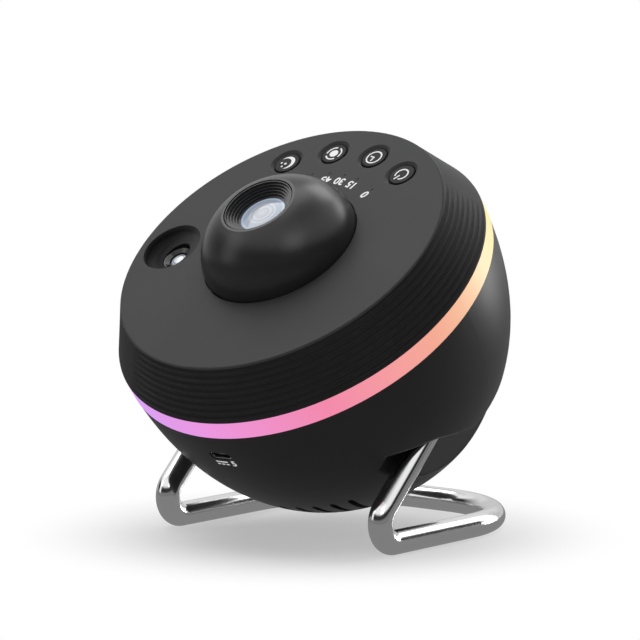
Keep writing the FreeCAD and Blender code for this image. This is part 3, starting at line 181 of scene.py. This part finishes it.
def moulded(name, colour, roughness, grain=1500.0, bump=0.25, mottle=0.10, **values):
    """Moulded plastic: fine sparked grain, slow changes of tone and gloss."""
    made, tree, shader = material(name, colour, roughness, **values)
    place = object_place(tree)
    tones = (shade(colour, 1 - mottle), shade(colour, 1 + mottle))
    tone = ramp(tree, noise(tree, place, MOTTLE_SCALE, 3.0), list(zip(MOTTLE_STOPS, tones)))
    tree.links.new(tone, shader.inputs["Base Color"])
    fine = noise(tree, place, grain, 2.0)
    drift_gloss(tree, shader, fine, roughness, GLOSS_DRIFT)
    emboss(tree, shader, fine, bump, GRAIN_DEPTH)
    return made


def metal(name, colour, roughness, brushed=0.0):
    """Bare metal with faint smears, and a brushed grain where wanted."""
    made, tree, shader = material(name, colour, roughness, Metallic=1.0)
    place = object_place(tree)
    drift_gloss(tree, shader, noise(tree, place, SMEAR_SCALE, 4.0), roughness, SMEAR_DRIFT)
    if brushed:
        stretched = add(tree, "ShaderNodeMapping", {"Vector": place}, Scale=BRUSH_SCALES)
        lines = noise(tree, stretched.outputs["Vector"], 1.0, 2.0)
        emboss(tree, shader, lines, brushed, BRUSH_DEPTH)
    return made


# ---- light ring and lenses -----------------------------------------------------------------------

# by turn round the ring: 0.5 is +X, 0.25 is downhill, and the two ends meet at -X
RING_COLOURS = [
    (0.0, (0.25, 0.30, 1.0)), (0.16, (0.72, 0.36, 1.0)), (0.26, (0.92, 0.32, 0.80)),
    (0.36, (1.0, 0.27, 0.45)), (0.46, (1.0, 0.43, 0.31)), (0.58, (1.0, 0.82, 0.37)),
    (0.68, (0.75, 0.85, 0.25)), (0.78, (0.15, 0.80, 0.45)), (0.90, (0.10, 0.50, 0.95)),
    (1.0, (0.25, 0.30, 1.0)),
]
RING_BODY = (0.05, 0.04, 0.05)
RING_STRENGTH = 0.92
RING_UNEVEN = 0.94        # light of the ring's dimmest parts, as a share
RING_UNEVEN_SCALE = 28.0

# painted reflections, highlights and glow of the lenses, by distance from the middle, as a share of
# the radius in view
FRONT_LENS_PAINTED_REFLECTIONS = [
    (0.0, (0.56, 0.60, 0.66)), (0.30, (0.44, 0.48, 0.55)), (0.36, (0.62, 0.66, 0.72)),
    (0.50, (0.42, 0.46, 0.54)), (0.56, (0.66, 0.70, 0.78)), (0.62, (0.44, 0.50, 0.58)),
    (0.84, (0.42, 0.50, 0.64)), (0.93, (0.70, 0.80, 0.95)), (1.0, (0.16, 0.20, 0.30)),
]
# the small lens: a painted white highlight in the middle and a paler painted ring near its edge
SMALL_LENS_PAINTED_HIGHLIGHT = [
    (0.0, (0.95, 0.96, 1.0)), (0.45, (0.80, 0.84, 0.90)), (0.58, (0.16, 0.18, 0.22)),
    (0.72, (0.42, 0.46, 0.52)), (0.82, (0.03, 0.03, 0.04)), (1.0, (0.01, 0.01, 0.015)),
]
LENS_TINT = (0.5, 0.6, 0.7)
LENS_ROUGHNESS = 0.06


def glow_material():
    """The light ring: frosted plastic lit from inside, its colour turning round the ring."""
    made, tree, shader = material("ring_glow", RING_BODY, 0.45, Emission_Strength=RING_STRENGTH)
    angle = add(tree, "ShaderNodeTexGradient", {"Vector": leaning_place(tree, CENTRE)},
                gradient_type="RADIAL")
    colours = ramp(tree, angle.outputs["Fac"], RING_COLOURS)
    level = spread(tree, noise(tree, object_place(tree), RING_UNEVEN_SCALE, 1.0), RING_UNEVEN, 1.0)
    tree.links.new(scaled(tree, colours, level), shader.inputs["Emission Color"])
    return made


def lens_with_painted_light(name, middle, view, stops, strength, coat):
    """A lens with light behind it and painted reflections and highlights: its glowing colour by the
    distance from its middle.
    """
    made, tree, shader = material(name, LENS_TINT, LENS_ROUGHNESS, Coat_Weight=coat,
                                  Emission_Strength=strength)
    share = maths(tree, "DIVIDE", off_beam(tree, leaning_place(tree, middle)), view * MM)
    glow = ramp(tree, share, stops)
    tree.links.new(glow, shader.inputs["Base Color"])
    tree.links.new(glow, shader.inputs["Emission Color"])
    return made


# ---- materials -----------------------------------------------------------------------------------

SPARKED = 2600.0          # grain of the outer mouldings
COVER_SHINE = 0.10        # specular levels of the matt mouldings
SHELL_SHINE = 0.25
BUTTON_SHINE = 0.15

# moulded: name, colour, roughness, grain, bump, mottle; metal: name, colour, roughness
BY_SLOT = {
    "cover_grey": moulded("cover_plastic", (0.113, 0.114, 0.115), 0.46, SPARKED, 0.22, 0.03,
                          Specular_IOR_Level=COVER_SHINE),
    "shell_black": moulded("shell_plastic", (0.050, 0.050, 0.051), 0.40, SPARKED, 0.20, 0.04,
                           Specular_IOR_Level=SHELL_SHINE),
    "turret_black": moulded("turret_plastic", (0.042, 0.042, 0.043), 0.30, SPARKED, 0.08, 0.03),
    "button_black": moulded("button_plastic", (0.014, 0.014, 0.015), 0.42, SPARKED, 0.12, 0.03,
                            Specular_IOR_Level=BUTTON_SHINE),
    "inner_black": moulded("inner_plastic", (0.05, 0.05, 0.055), 0.5),
    "white_plastic": moulded("acetal", (0.80, 0.80, 0.77), 0.4),
    "board_green": moulded("board", (0.03, 0.20, 0.09), 0.4, 700.0, 0.1, 0.15),
    "paper": moulded("pressed_paper", (0.10, 0.10, 0.10), 0.9, 500.0, 0.6, 0.2),
    "film": moulded("star_film", (0.02, 0.03, 0.10), 0.2, 900.0, 0.05, 0.3),
    "ripple_film": moulded("rippled_plastic", (0.55, 0.62, 0.72), 0.15, 200.0, 0.6),
    "lens_glass": moulded("inner_glass", (0.60, 0.66, 0.72), 0.05, bump=0.0),
    "glow_ring": glow_material(),
    "chrome_rod": metal("chrome_plate", (0.86, 0.86, 0.87), 0.13),
    "steel": metal("plain_steel", (0.62, 0.62, 0.63), 0.3, brushed=0.3),
    "gear_brass": metal("plain_brass", (0.72, 0.55, 0.25), 0.3, brushed=0.2),
    "sink_metal": metal("extruded_aluminium", (0.70, 0.71, 0.72), 0.35, brushed=0.5),
}
BY_NODE = {
    "nebula_bezel": moulded("bezel_black", (0.010, 0.010, 0.011), 0.16, bump=0.02, mottle=0.02),
    # front lens: glow with painted reflections in rings
    "front_lens": lens_with_painted_light("front_glass_painted_reflections", CENTRE, LENS_VIEW, FRONT_LENS_PAINTED_REFLECTIONS, 0.35, 0.6),
    # small lens: glow with a painted highlight in the middle
    "nebula_lens": lens_with_painted_light("nebula_glass_painted_highlight", at(*NEBULA, 0.0), NEBULA_VIEW, SMALL_LENS_PAINTED_HIGHLIGHT, 0.4, 1.0),
    "indicator_pipes": moulded("pipe_smoke", (0.006, 0.006, 0.006), 0.25, bump=0.0,
                               Specular_IOR_Level=BUTTON_SHINE),
}
# white print with a painted glow: it gives off light of its own, so it stays white however little
# light falls on it
PRINT_WHITE_PAINTED_GLOW = moulded("printed_white_painted_glow", (0.80, 0.80, 0.80), 0.5, bump=0.05, mottle=0.05,
                      Emission_Color=(1.0, 1.0, 1.0, 1.0), Emission_Strength=0.45)

DISH = (-46.0, -4.0)      # middle and radius of the dish round the small lens
DISH_RADIUS = 12.5
DISH_SHADE_FADE = (-1.6, -0.1)  # levels from the plate between which each painted shade sets in
FLANK_SHADE_FADE = (-1.1, -0.5)
DISH_SHADE = 0.25          # and the share of the plate's tone that each painted shade leaves
FLANK_SHADE = 0.53


def paint_shade_below_plate(cover):
    """Painted shade: the flank and the dish round the small lens, which get less light, are painted
    darker than the sparked plate.
    """
    tree = cover.node_tree
    base = tree.nodes["Principled BSDF"].inputs["Base Color"]
    place = leaning_place(tree, at(*DISH, PLATE_LEVEL))
    outside = maths(tree, "GREATER_THAN", off_beam(tree, place), DISH_RADIUS * MM)
    level = add(tree, "ShaderNodeSeparateXYZ", {"Vector": place}).outputs["Z"]
    # painted shade of the dish and of the flank, each by its level below the plate
    dish_shade, flank_shade = (spread(tree, level, tone, 1.0, From_Min=low * MM, From_Max=high * MM)
                   for tone, (low, high) in ((DISH_SHADE, DISH_SHADE_FADE), (FLANK_SHADE, FLANK_SHADE_FADE)))
    share = add(tree, "ShaderNodeMix", {0: outside, 2: dish_shade, 3: flank_shade}).outputs[0]
    tree.links.new(scaled(tree, base.links[0].from_socket, share), base)


# painted shade on the cover's flank and on the dish round the small lens
paint_shade_below_plate(BY_SLOT["cover_grey"])
for row in frame["record"]["subparts"]:
    node = nodes[row["node"]]
    node.data.materials.clear()
    node.data.materials.append(BY_NODE.get(row["node"], BY_SLOT[row["material_slot"]]))

# ---- outlines of the prints, in millimetres ------------------------------------------------------

CIRCLE_POINTS = 56
ARC_POINTS = 28
LINE = 0.55               # width of a symbol's line


def circle(radius, x=0.0, y=0.0):
    turns = [2 * math.pi * k / CIRCLE_POINTS for k in range(CIRCLE_POINTS)]
    return [(x + radius * math.cos(turn), y + radius * math.sin(turn)) for turn in turns]


def arc(radius, first, last, x=0.0):
    points = [polar(radius, first + (last - first) * k / ARC_POINTS) for k in range(ARC_POINTS + 1)]
    return [(x + dx, y) for dx, y in points]


def band(radius, first, last):
    """A line along an arc, as a closed outline."""
    return arc(radius + LINE / 2, first, last) + arc(radius - LINE / 2, last, first)


def crescent(radius, bite, shift):
    """A moon: a circle less a shifted circle, as one outline."""
    meet = math.degrees(math.acos((shift ** 2 + radius ** 2 - bite ** 2) / (2 * shift * radius)))
    inner = math.degrees(math.acos((shift ** 2 + bite ** 2 - radius ** 2) / (2 * shift * bite)))
    return arc(radius, meet, 360.0 - meet) + arc(bite, 180.0 + inner, 180.0 - inner, shift)


def elbow(tall, wide):
    """Two lines that meet at the middle, one up and one to the right, as one outline."""
    half = LINE / 2
    return [(-half, -half), (wide, -half), (wide, half), (half, half), (half, tall), (-half, tall)]


def upright_bar(low, high):
    half = LINE / 2
    return [(-half, low - half), (half, low - half), (half, high + half), (-half, high + half)]


def level_bar(x0, x1, y, steps):
    """A level bar with points along it, so that it can bend."""
    along = [x0 + (x1 - x0) * k / steps for k in range(steps + 1)]
    return [(x, y - LINE / 2) for x in along] + [(x, y + LINE / 2) for x in reversed(along)]


SYMBOL_RADIUS = 3.2
STARS = ((0.5, 0.6, 0.3), (0.4, 2.0, 1.3), (0.4, 2.1, -0.9))     # radius, x, y
SYMBOLS = {
    "moon": [crescent(SYMBOL_RADIUS, 2.8, 1.0)] + [circle(*star) for star in STARS],
    "scene": [circle(1.7)] + [band(3.0, first, first + 95) for first in (20, 140, 260)],
    "timer": [circle(SYMBOL_RADIUS), circle(SYMBOL_RADIUS - LINE), elbow(2.0, 1.7)],
    "power": [band(2.5, 120, 420), upright_bar(1.0, 3.0)],
}
SIGN_HALF = 2.6           # direct-current sign: a bar above three dashes
BAR_UP = 0.75
DASHES_DOWN = 0.65
DASH = 1.3
DASH_STARTS = (-2.6, -0.65, 1.3)
PORT_SIGN = [level_bar(-SIGN_HALF, SIGN_HALF, BAR_UP, 6)]
PORT_SIGN += [level_bar(start, start + DASH, -DASHES_DOWN, 2) for start in DASH_STARTS]

# ---- prints --------------------------------------------------------------------------------------

PRINT_LIFT = 0.02
PRINT_THICKNESS = 0.05
LABELS = ("60", "45", "30", "15", "0")
LABEL_CIRCLE = 34.8
LABEL_SIZE = 4.6
BOLDER = 0.025            # growth of a numeral's outline, as a share of its size
PORT_NUMBER_SIZE = 3.8
BELOW_PORT = 3.9          # both prints below the inlet's middle
SIGN_SIDE = -1.2          # and how far to its side each has its own
NUMBER_SIDE = 3.8
OUTSIDE_BALL = -90.0      # start of a ray on the lens side towards the shell


def flat_mesh(name, curve):
    """A curve's filled outline as a mesh object."""
    maker = bpy.data.objects.new(name + "_outline", curve)
    bpy.context.scene.collection.objects.link(maker)
    bpy.context.view_layer.update()
    evaluated = maker.evaluated_get(bpy.context.evaluated_depsgraph_get())
    mesh = bpy.data.meshes.new_from_object(evaluated)
    bpy.data.objects.remove(maker)
    made = bpy.data.objects.new(name, mesh)
    bpy.context.scene.collection.objects.link(made)
    return made


def painted(name, curve, place, body):
    """A curve laid at a place as thin paint, on a body."""
    curve.extrude = PRINT_THICKNESS / 2
    made = flat_mesh(name, curve)
    made.data.transform(place)
    made.data.materials.clear()
    made.data.materials.append(PRINT_WHITE_PAINTED_GLOW)
    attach(made, body)
    return made


def symbol(name, outlines, place, body):
    """Closed outlines, filled by the even-odd rule."""
    curve = bpy.data.curves.new(name, "CURVE")
    curve.dimensions = "2D"
    curve.fill_mode = "BOTH"
    for outline in outlines:
        spline = curve.splines.new("POLY")
        spline.points.add(len(outline) - 1)
        for point, place_2d in zip(spline.points, outline):
            point.co = (*place_2d, 0.0, 1.0)
        spline.use_cyclic_u = True
    return painted(name, curve, place, body)


def numeral(name, text, size, place, body):
    curve = bpy.data.curves.new(name, "FONT")
    curve.body = text
    curve.size = size
    curve.align_x = "CENTER"
    curve.align_y = "CENTER"
    curve.offset = size * BOLDER
    return painted(name, curve, place, body)


def on_circle(radius, degrees, level):
    """The place of a print on a face across the beam, its top towards the ball's middle."""
    x, y = polar(radius, degrees)
    top = (SIDE * -x + UPHILL * -y).normalized()
    turn = Matrix((top.cross(BEAM), top, BEAM)).transposed().to_4x4()
    return Matrix.Translation(at(x, y, level)) @ turn @ Matrix.Scale(MM, 4)


def print_panel():
    """A symbol on each button and a number at each indicator."""
    first = PANEL_MIDDLE + (len(SYMBOLS) - 1) / 2 * BUTTON_PITCH
    for k, (name, outlines) in enumerate(SYMBOLS.items()):
        place = on_circle(BUTTON_CIRCLE, first - k * BUTTON_PITCH,
                          PLATE_LEVEL - BUTTON_DROP + PRINT_LIFT)
        symbol(name + "_symbol", outlines, place, name + "_key")
    first = PANEL_MIDDLE + INDICATOR_LEAD * INDICATOR_PITCH
    for k, (text, step) in enumerate(zip(LABELS, INDICATOR_STEPS), 1):
        place = on_circle(LABEL_CIRCLE, first - step * INDICATOR_PITCH, PLATE_LEVEL + PRINT_LIFT)
        numeral("indicator_number_" + str(k), text, LABEL_SIZE, place, "housing")


def wrap(made, x, level):
    """Lay flat paint on the lens side of the ball's skin, its up along the skin."""
    shell = BVHTree.FromObject(nodes["lower_shell"], bpy.context.evaluated_depsgraph_get())
    for vertex in made.data.vertices:
        start = at(x + vertex.co.x, OUTSIDE_BALL, level + vertex.co.y)
        place, normal, _, _ = shell.ray_cast(start, UPHILL)
        vertex.co = place + normal * (PRINT_LIFT + vertex.co.z) * MM


def print_port():
    """The direct-current sign and a plain number under the inlet."""
    flat = Matrix.Identity(4)
    sign = symbol("port_sign", PORT_SIGN, flat, "housing")
    wrap(sign, SIGN_SIDE, PORT_LEVEL - BELOW_PORT)
    number = numeral("port_number", "5", PORT_NUMBER_SIZE, flat, "housing")
    wrap(number, NUMBER_SIDE, PORT_LEVEL - BELOW_PORT)


print_panel()
print_port()

# ---- stage: ground and world ---------------------------------------------------------------------

AZIMUTH = math.radians(39.0)
ELEVATION = math.radians(5.93)
TOWARDS = Vector((math.sin(AZIMUTH) * math.cos(ELEVATION),
                  -math.cos(AZIMUTH) * math.cos(ELEVATION), math.sin(ELEVATION)))
RIGHT = Vector((math.cos(AZIMUTH), math.sin(AZIMUTH), 0.0))
UP = Vector((0.0, 0.0, 1.0))

WHITE = (1.0, 1.0, 1.0, 1.0)
FLOOR_HALF = 3.0
FLOOR_TONE = (0.45, 0.45, 0.45, 1.0)
FLOOR_LIFT = 0.42
SHADOW_FADE = (0.03, 0.112)      # distances between which the shadow fades, in metres
MIRROR_FADE = (0.3, 1.2)         # and between which the ground's mirrored tone does
MIRROR_TONES = (0.24, 0.03)
FILL = 0.06                      # even light on the object
DEPTHS = (0.35, 0.85)            # where the studio changes from fore to rear


def greys(*stops):
    return [(height, (tone, tone, tone)) for height, tone in stops]


# tones of the studio by height, from level to straight up
REAR_STUDIO = greys((0.0, 0.60), (0.20, 0.60), (0.32, 0.75), (0.58, 0.75), (0.70, 0.06),
                    (1.0, 0.06))
FORE_STUDIO = greys((0.0, 0.22), (0.10, 0.22), (0.20, 0.02), (0.38, 0.02), (0.50, 0.95),
                    (0.80, 0.95), (1.0, 0.30))


def bare_tree(owner):
    owner.use_nodes = True
    owner.node_tree.nodes.clear()
    return owner.node_tree


def mixed(tree, share, first, second):
    """Two shaders mixed, all second where the share is 1."""
    return add(tree, "ShaderNodeMixShader", {0: share, 1: first, 2: second}).outputs[0]


def glowing(tree, kind, strength):
    return add(tree, kind, Color=WHITE, Strength=strength).outputs[0]


def by_ray(tree, seen, mirrored, other):
    """One shader for camera and transmission rays, one for glossy rays and one for the rest."""
    rays = add(tree, "ShaderNodeLightPath").outputs
    shown = add(tree, "ShaderNodeMath", {0: rays["Is Camera Ray"], 1: rays["Is Transmission Ray"]},
                operation="MAXIMUM").outputs["Value"]
    return mixed(tree, shown, mixed(tree, rays["Is Glossy Ray"], other, mirrored), seen)


def make_floor():
    """White ground which keeps the object's shadow near it and is plain white further out."""
    corners = [(x * FLOOR_HALF, y * FLOOR_HALF, 0) for x, y in ((-1, -1), (1, -1), (1, 1), (-1, 1))]
    mesh = bpy.data.meshes.new("ground")
    mesh.from_pydata(corners, [], [(0, 1, 2, 3)])
    ground = bpy.data.objects.new("ground", mesh)
    bpy.context.scene.collection.objects.link(ground)
    made = bpy.data.materials.new("ground_white")
    tree = bare_tree(made)
    radius = add(tree, "ShaderNodeVectorMath", {0: object_place(tree)},
                 operation="LENGTH").outputs["Value"]
    smooth = {"interpolation_type": "SMOOTHSTEP"}
    far = spread(tree, radius, 0.0, 1.0, From_Min=SHADOW_FADE[0], From_Max=SHADOW_FADE[1], **smooth)
    grey = spread(tree, radius, *MIRROR_TONES, From_Min=MIRROR_FADE[0], From_Max=MIRROR_FADE[1],
                  **smooth)
    lit = add(tree, "ShaderNodeBsdfDiffuse", Color=FLOOR_TONE).outputs[0]
    lift = glowing(tree, "ShaderNodeEmission", FLOOR_LIFT)
    near = add(tree, "ShaderNodeAddShader", {0: lit, 1: lift}).outputs[0]
    seen = mixed(tree, far, near, glowing(tree, "ShaderNodeEmission", 1.0))
    mirrored = add(tree, "ShaderNodeEmission", {"Strength": grey}, Color=WHITE).outputs[0]
    add(tree, "ShaderNodeOutputMaterial", {"Surface": by_ray(tree, seen, mirrored, lit)})
    mesh.materials.append(made)


def make_world():
    """Plain white behind the object, a dim even fill on it, and a studio for what is reflected."""
    world = bpy.data.worlds.new("studio")
    bpy.context.scene.world = world
    tree = bare_tree(world)
    place = add(tree, "ShaderNodeTexCoord").outputs["Generated"]
    height = add(tree, "ShaderNodeSeparateXYZ", {"Vector": place}).outputs["Z"]
    behind = add(tree, "ShaderNodeVectorMath", {0: place}, operation="DOT_PRODUCT")
    behind.inputs[1].default_value = -TOWARDS
    depth = spread(tree, behind.outputs["Value"], 0.0, 1.0, From_Min=DEPTHS[0], From_Max=DEPTHS[1])
    fore, rear = (add(tree, "ShaderNodeBackground", {"Color": ramp(tree, height, tones)}).outputs[0]
                  for tones in (FORE_STUDIO, REAR_STUDIO))
    seen = glowing(tree, "ShaderNodeBackground", 1.0)
    fill = glowing(tree, "ShaderNodeBackground", FILL)
    whole = by_ray(tree, seen, mixed(tree, depth, fore, rear), fill)
    add(tree, "ShaderNodeOutputWorld", {"Surface": whole})


make_floor()
make_world()

# ---- lights and camera ---------------------------------------------------------------------------

# name, direction as (right, towards the camera, up), distance, width and height in metres, watts
SOFTBOXES = (
    ("key", (-0.28, -0.2, 0.95), 1.5, 1.3, 1.3, 8.8),
    ("top", (0.30, -0.5, 0.78), 1.3, 0.5, 0.5, 2.2),
    ("rim", (0.72, -0.48, 0.45), 1.3, 0.5, 0.9, 3.2),
    ("kick", (0.86, -0.5, 0.06), 1.4, 0.5, 0.4, 5.0),
    ("side", (-1.0, 0.1, 0.35), 1.4, 0.5, 0.8, 1.2),
    ("front", (0.08, 0.86, 0.51), 1.3, 0.55, 0.55, 1.1),
)
CAMERA_DISTANCE = 1.26
CAMERA = {"lens": 201.3, "sensor_width": 36.0, "shift_x": 0.01477, "shift_y": -0.02689,
          "clip_start": 0.05}


def aimed(made, way, distance):
    """Put an object at a distance from the ball's centre, its -Z towards it."""
    made.location = CENTRE + way * distance
    made.rotation_euler = (CENTRE - made.location).to_track_quat("-Z", "Y").to_euler()
    bpy.context.scene.collection.objects.link(made)


for name, (right, towards, up), distance, width, height, watts in SOFTBOXES:
    lamp = bpy.data.lights.new(name, "AREA")
    lamp.shape = "RECTANGLE"
    lamp.size = width
    lamp.size_y = height
    lamp.energy = watts
    way = (RIGHT * right + TOWARDS * towards + UP * up).normalized()
    aimed(bpy.data.objects.new(name, lamp), way, distance)

camera_data = bpy.data.cameras.new("camera")
for setting, value in CAMERA.items():
    setattr(camera_data, setting, value)
camera = bpy.data.objects.new("camera", camera_data)
aimed(camera, TOWARDS, CAMERA_DISTANCE)
bpy.context.scene.camera = camera
bpy.context.scene.view_settings.view_transform = "Standard"
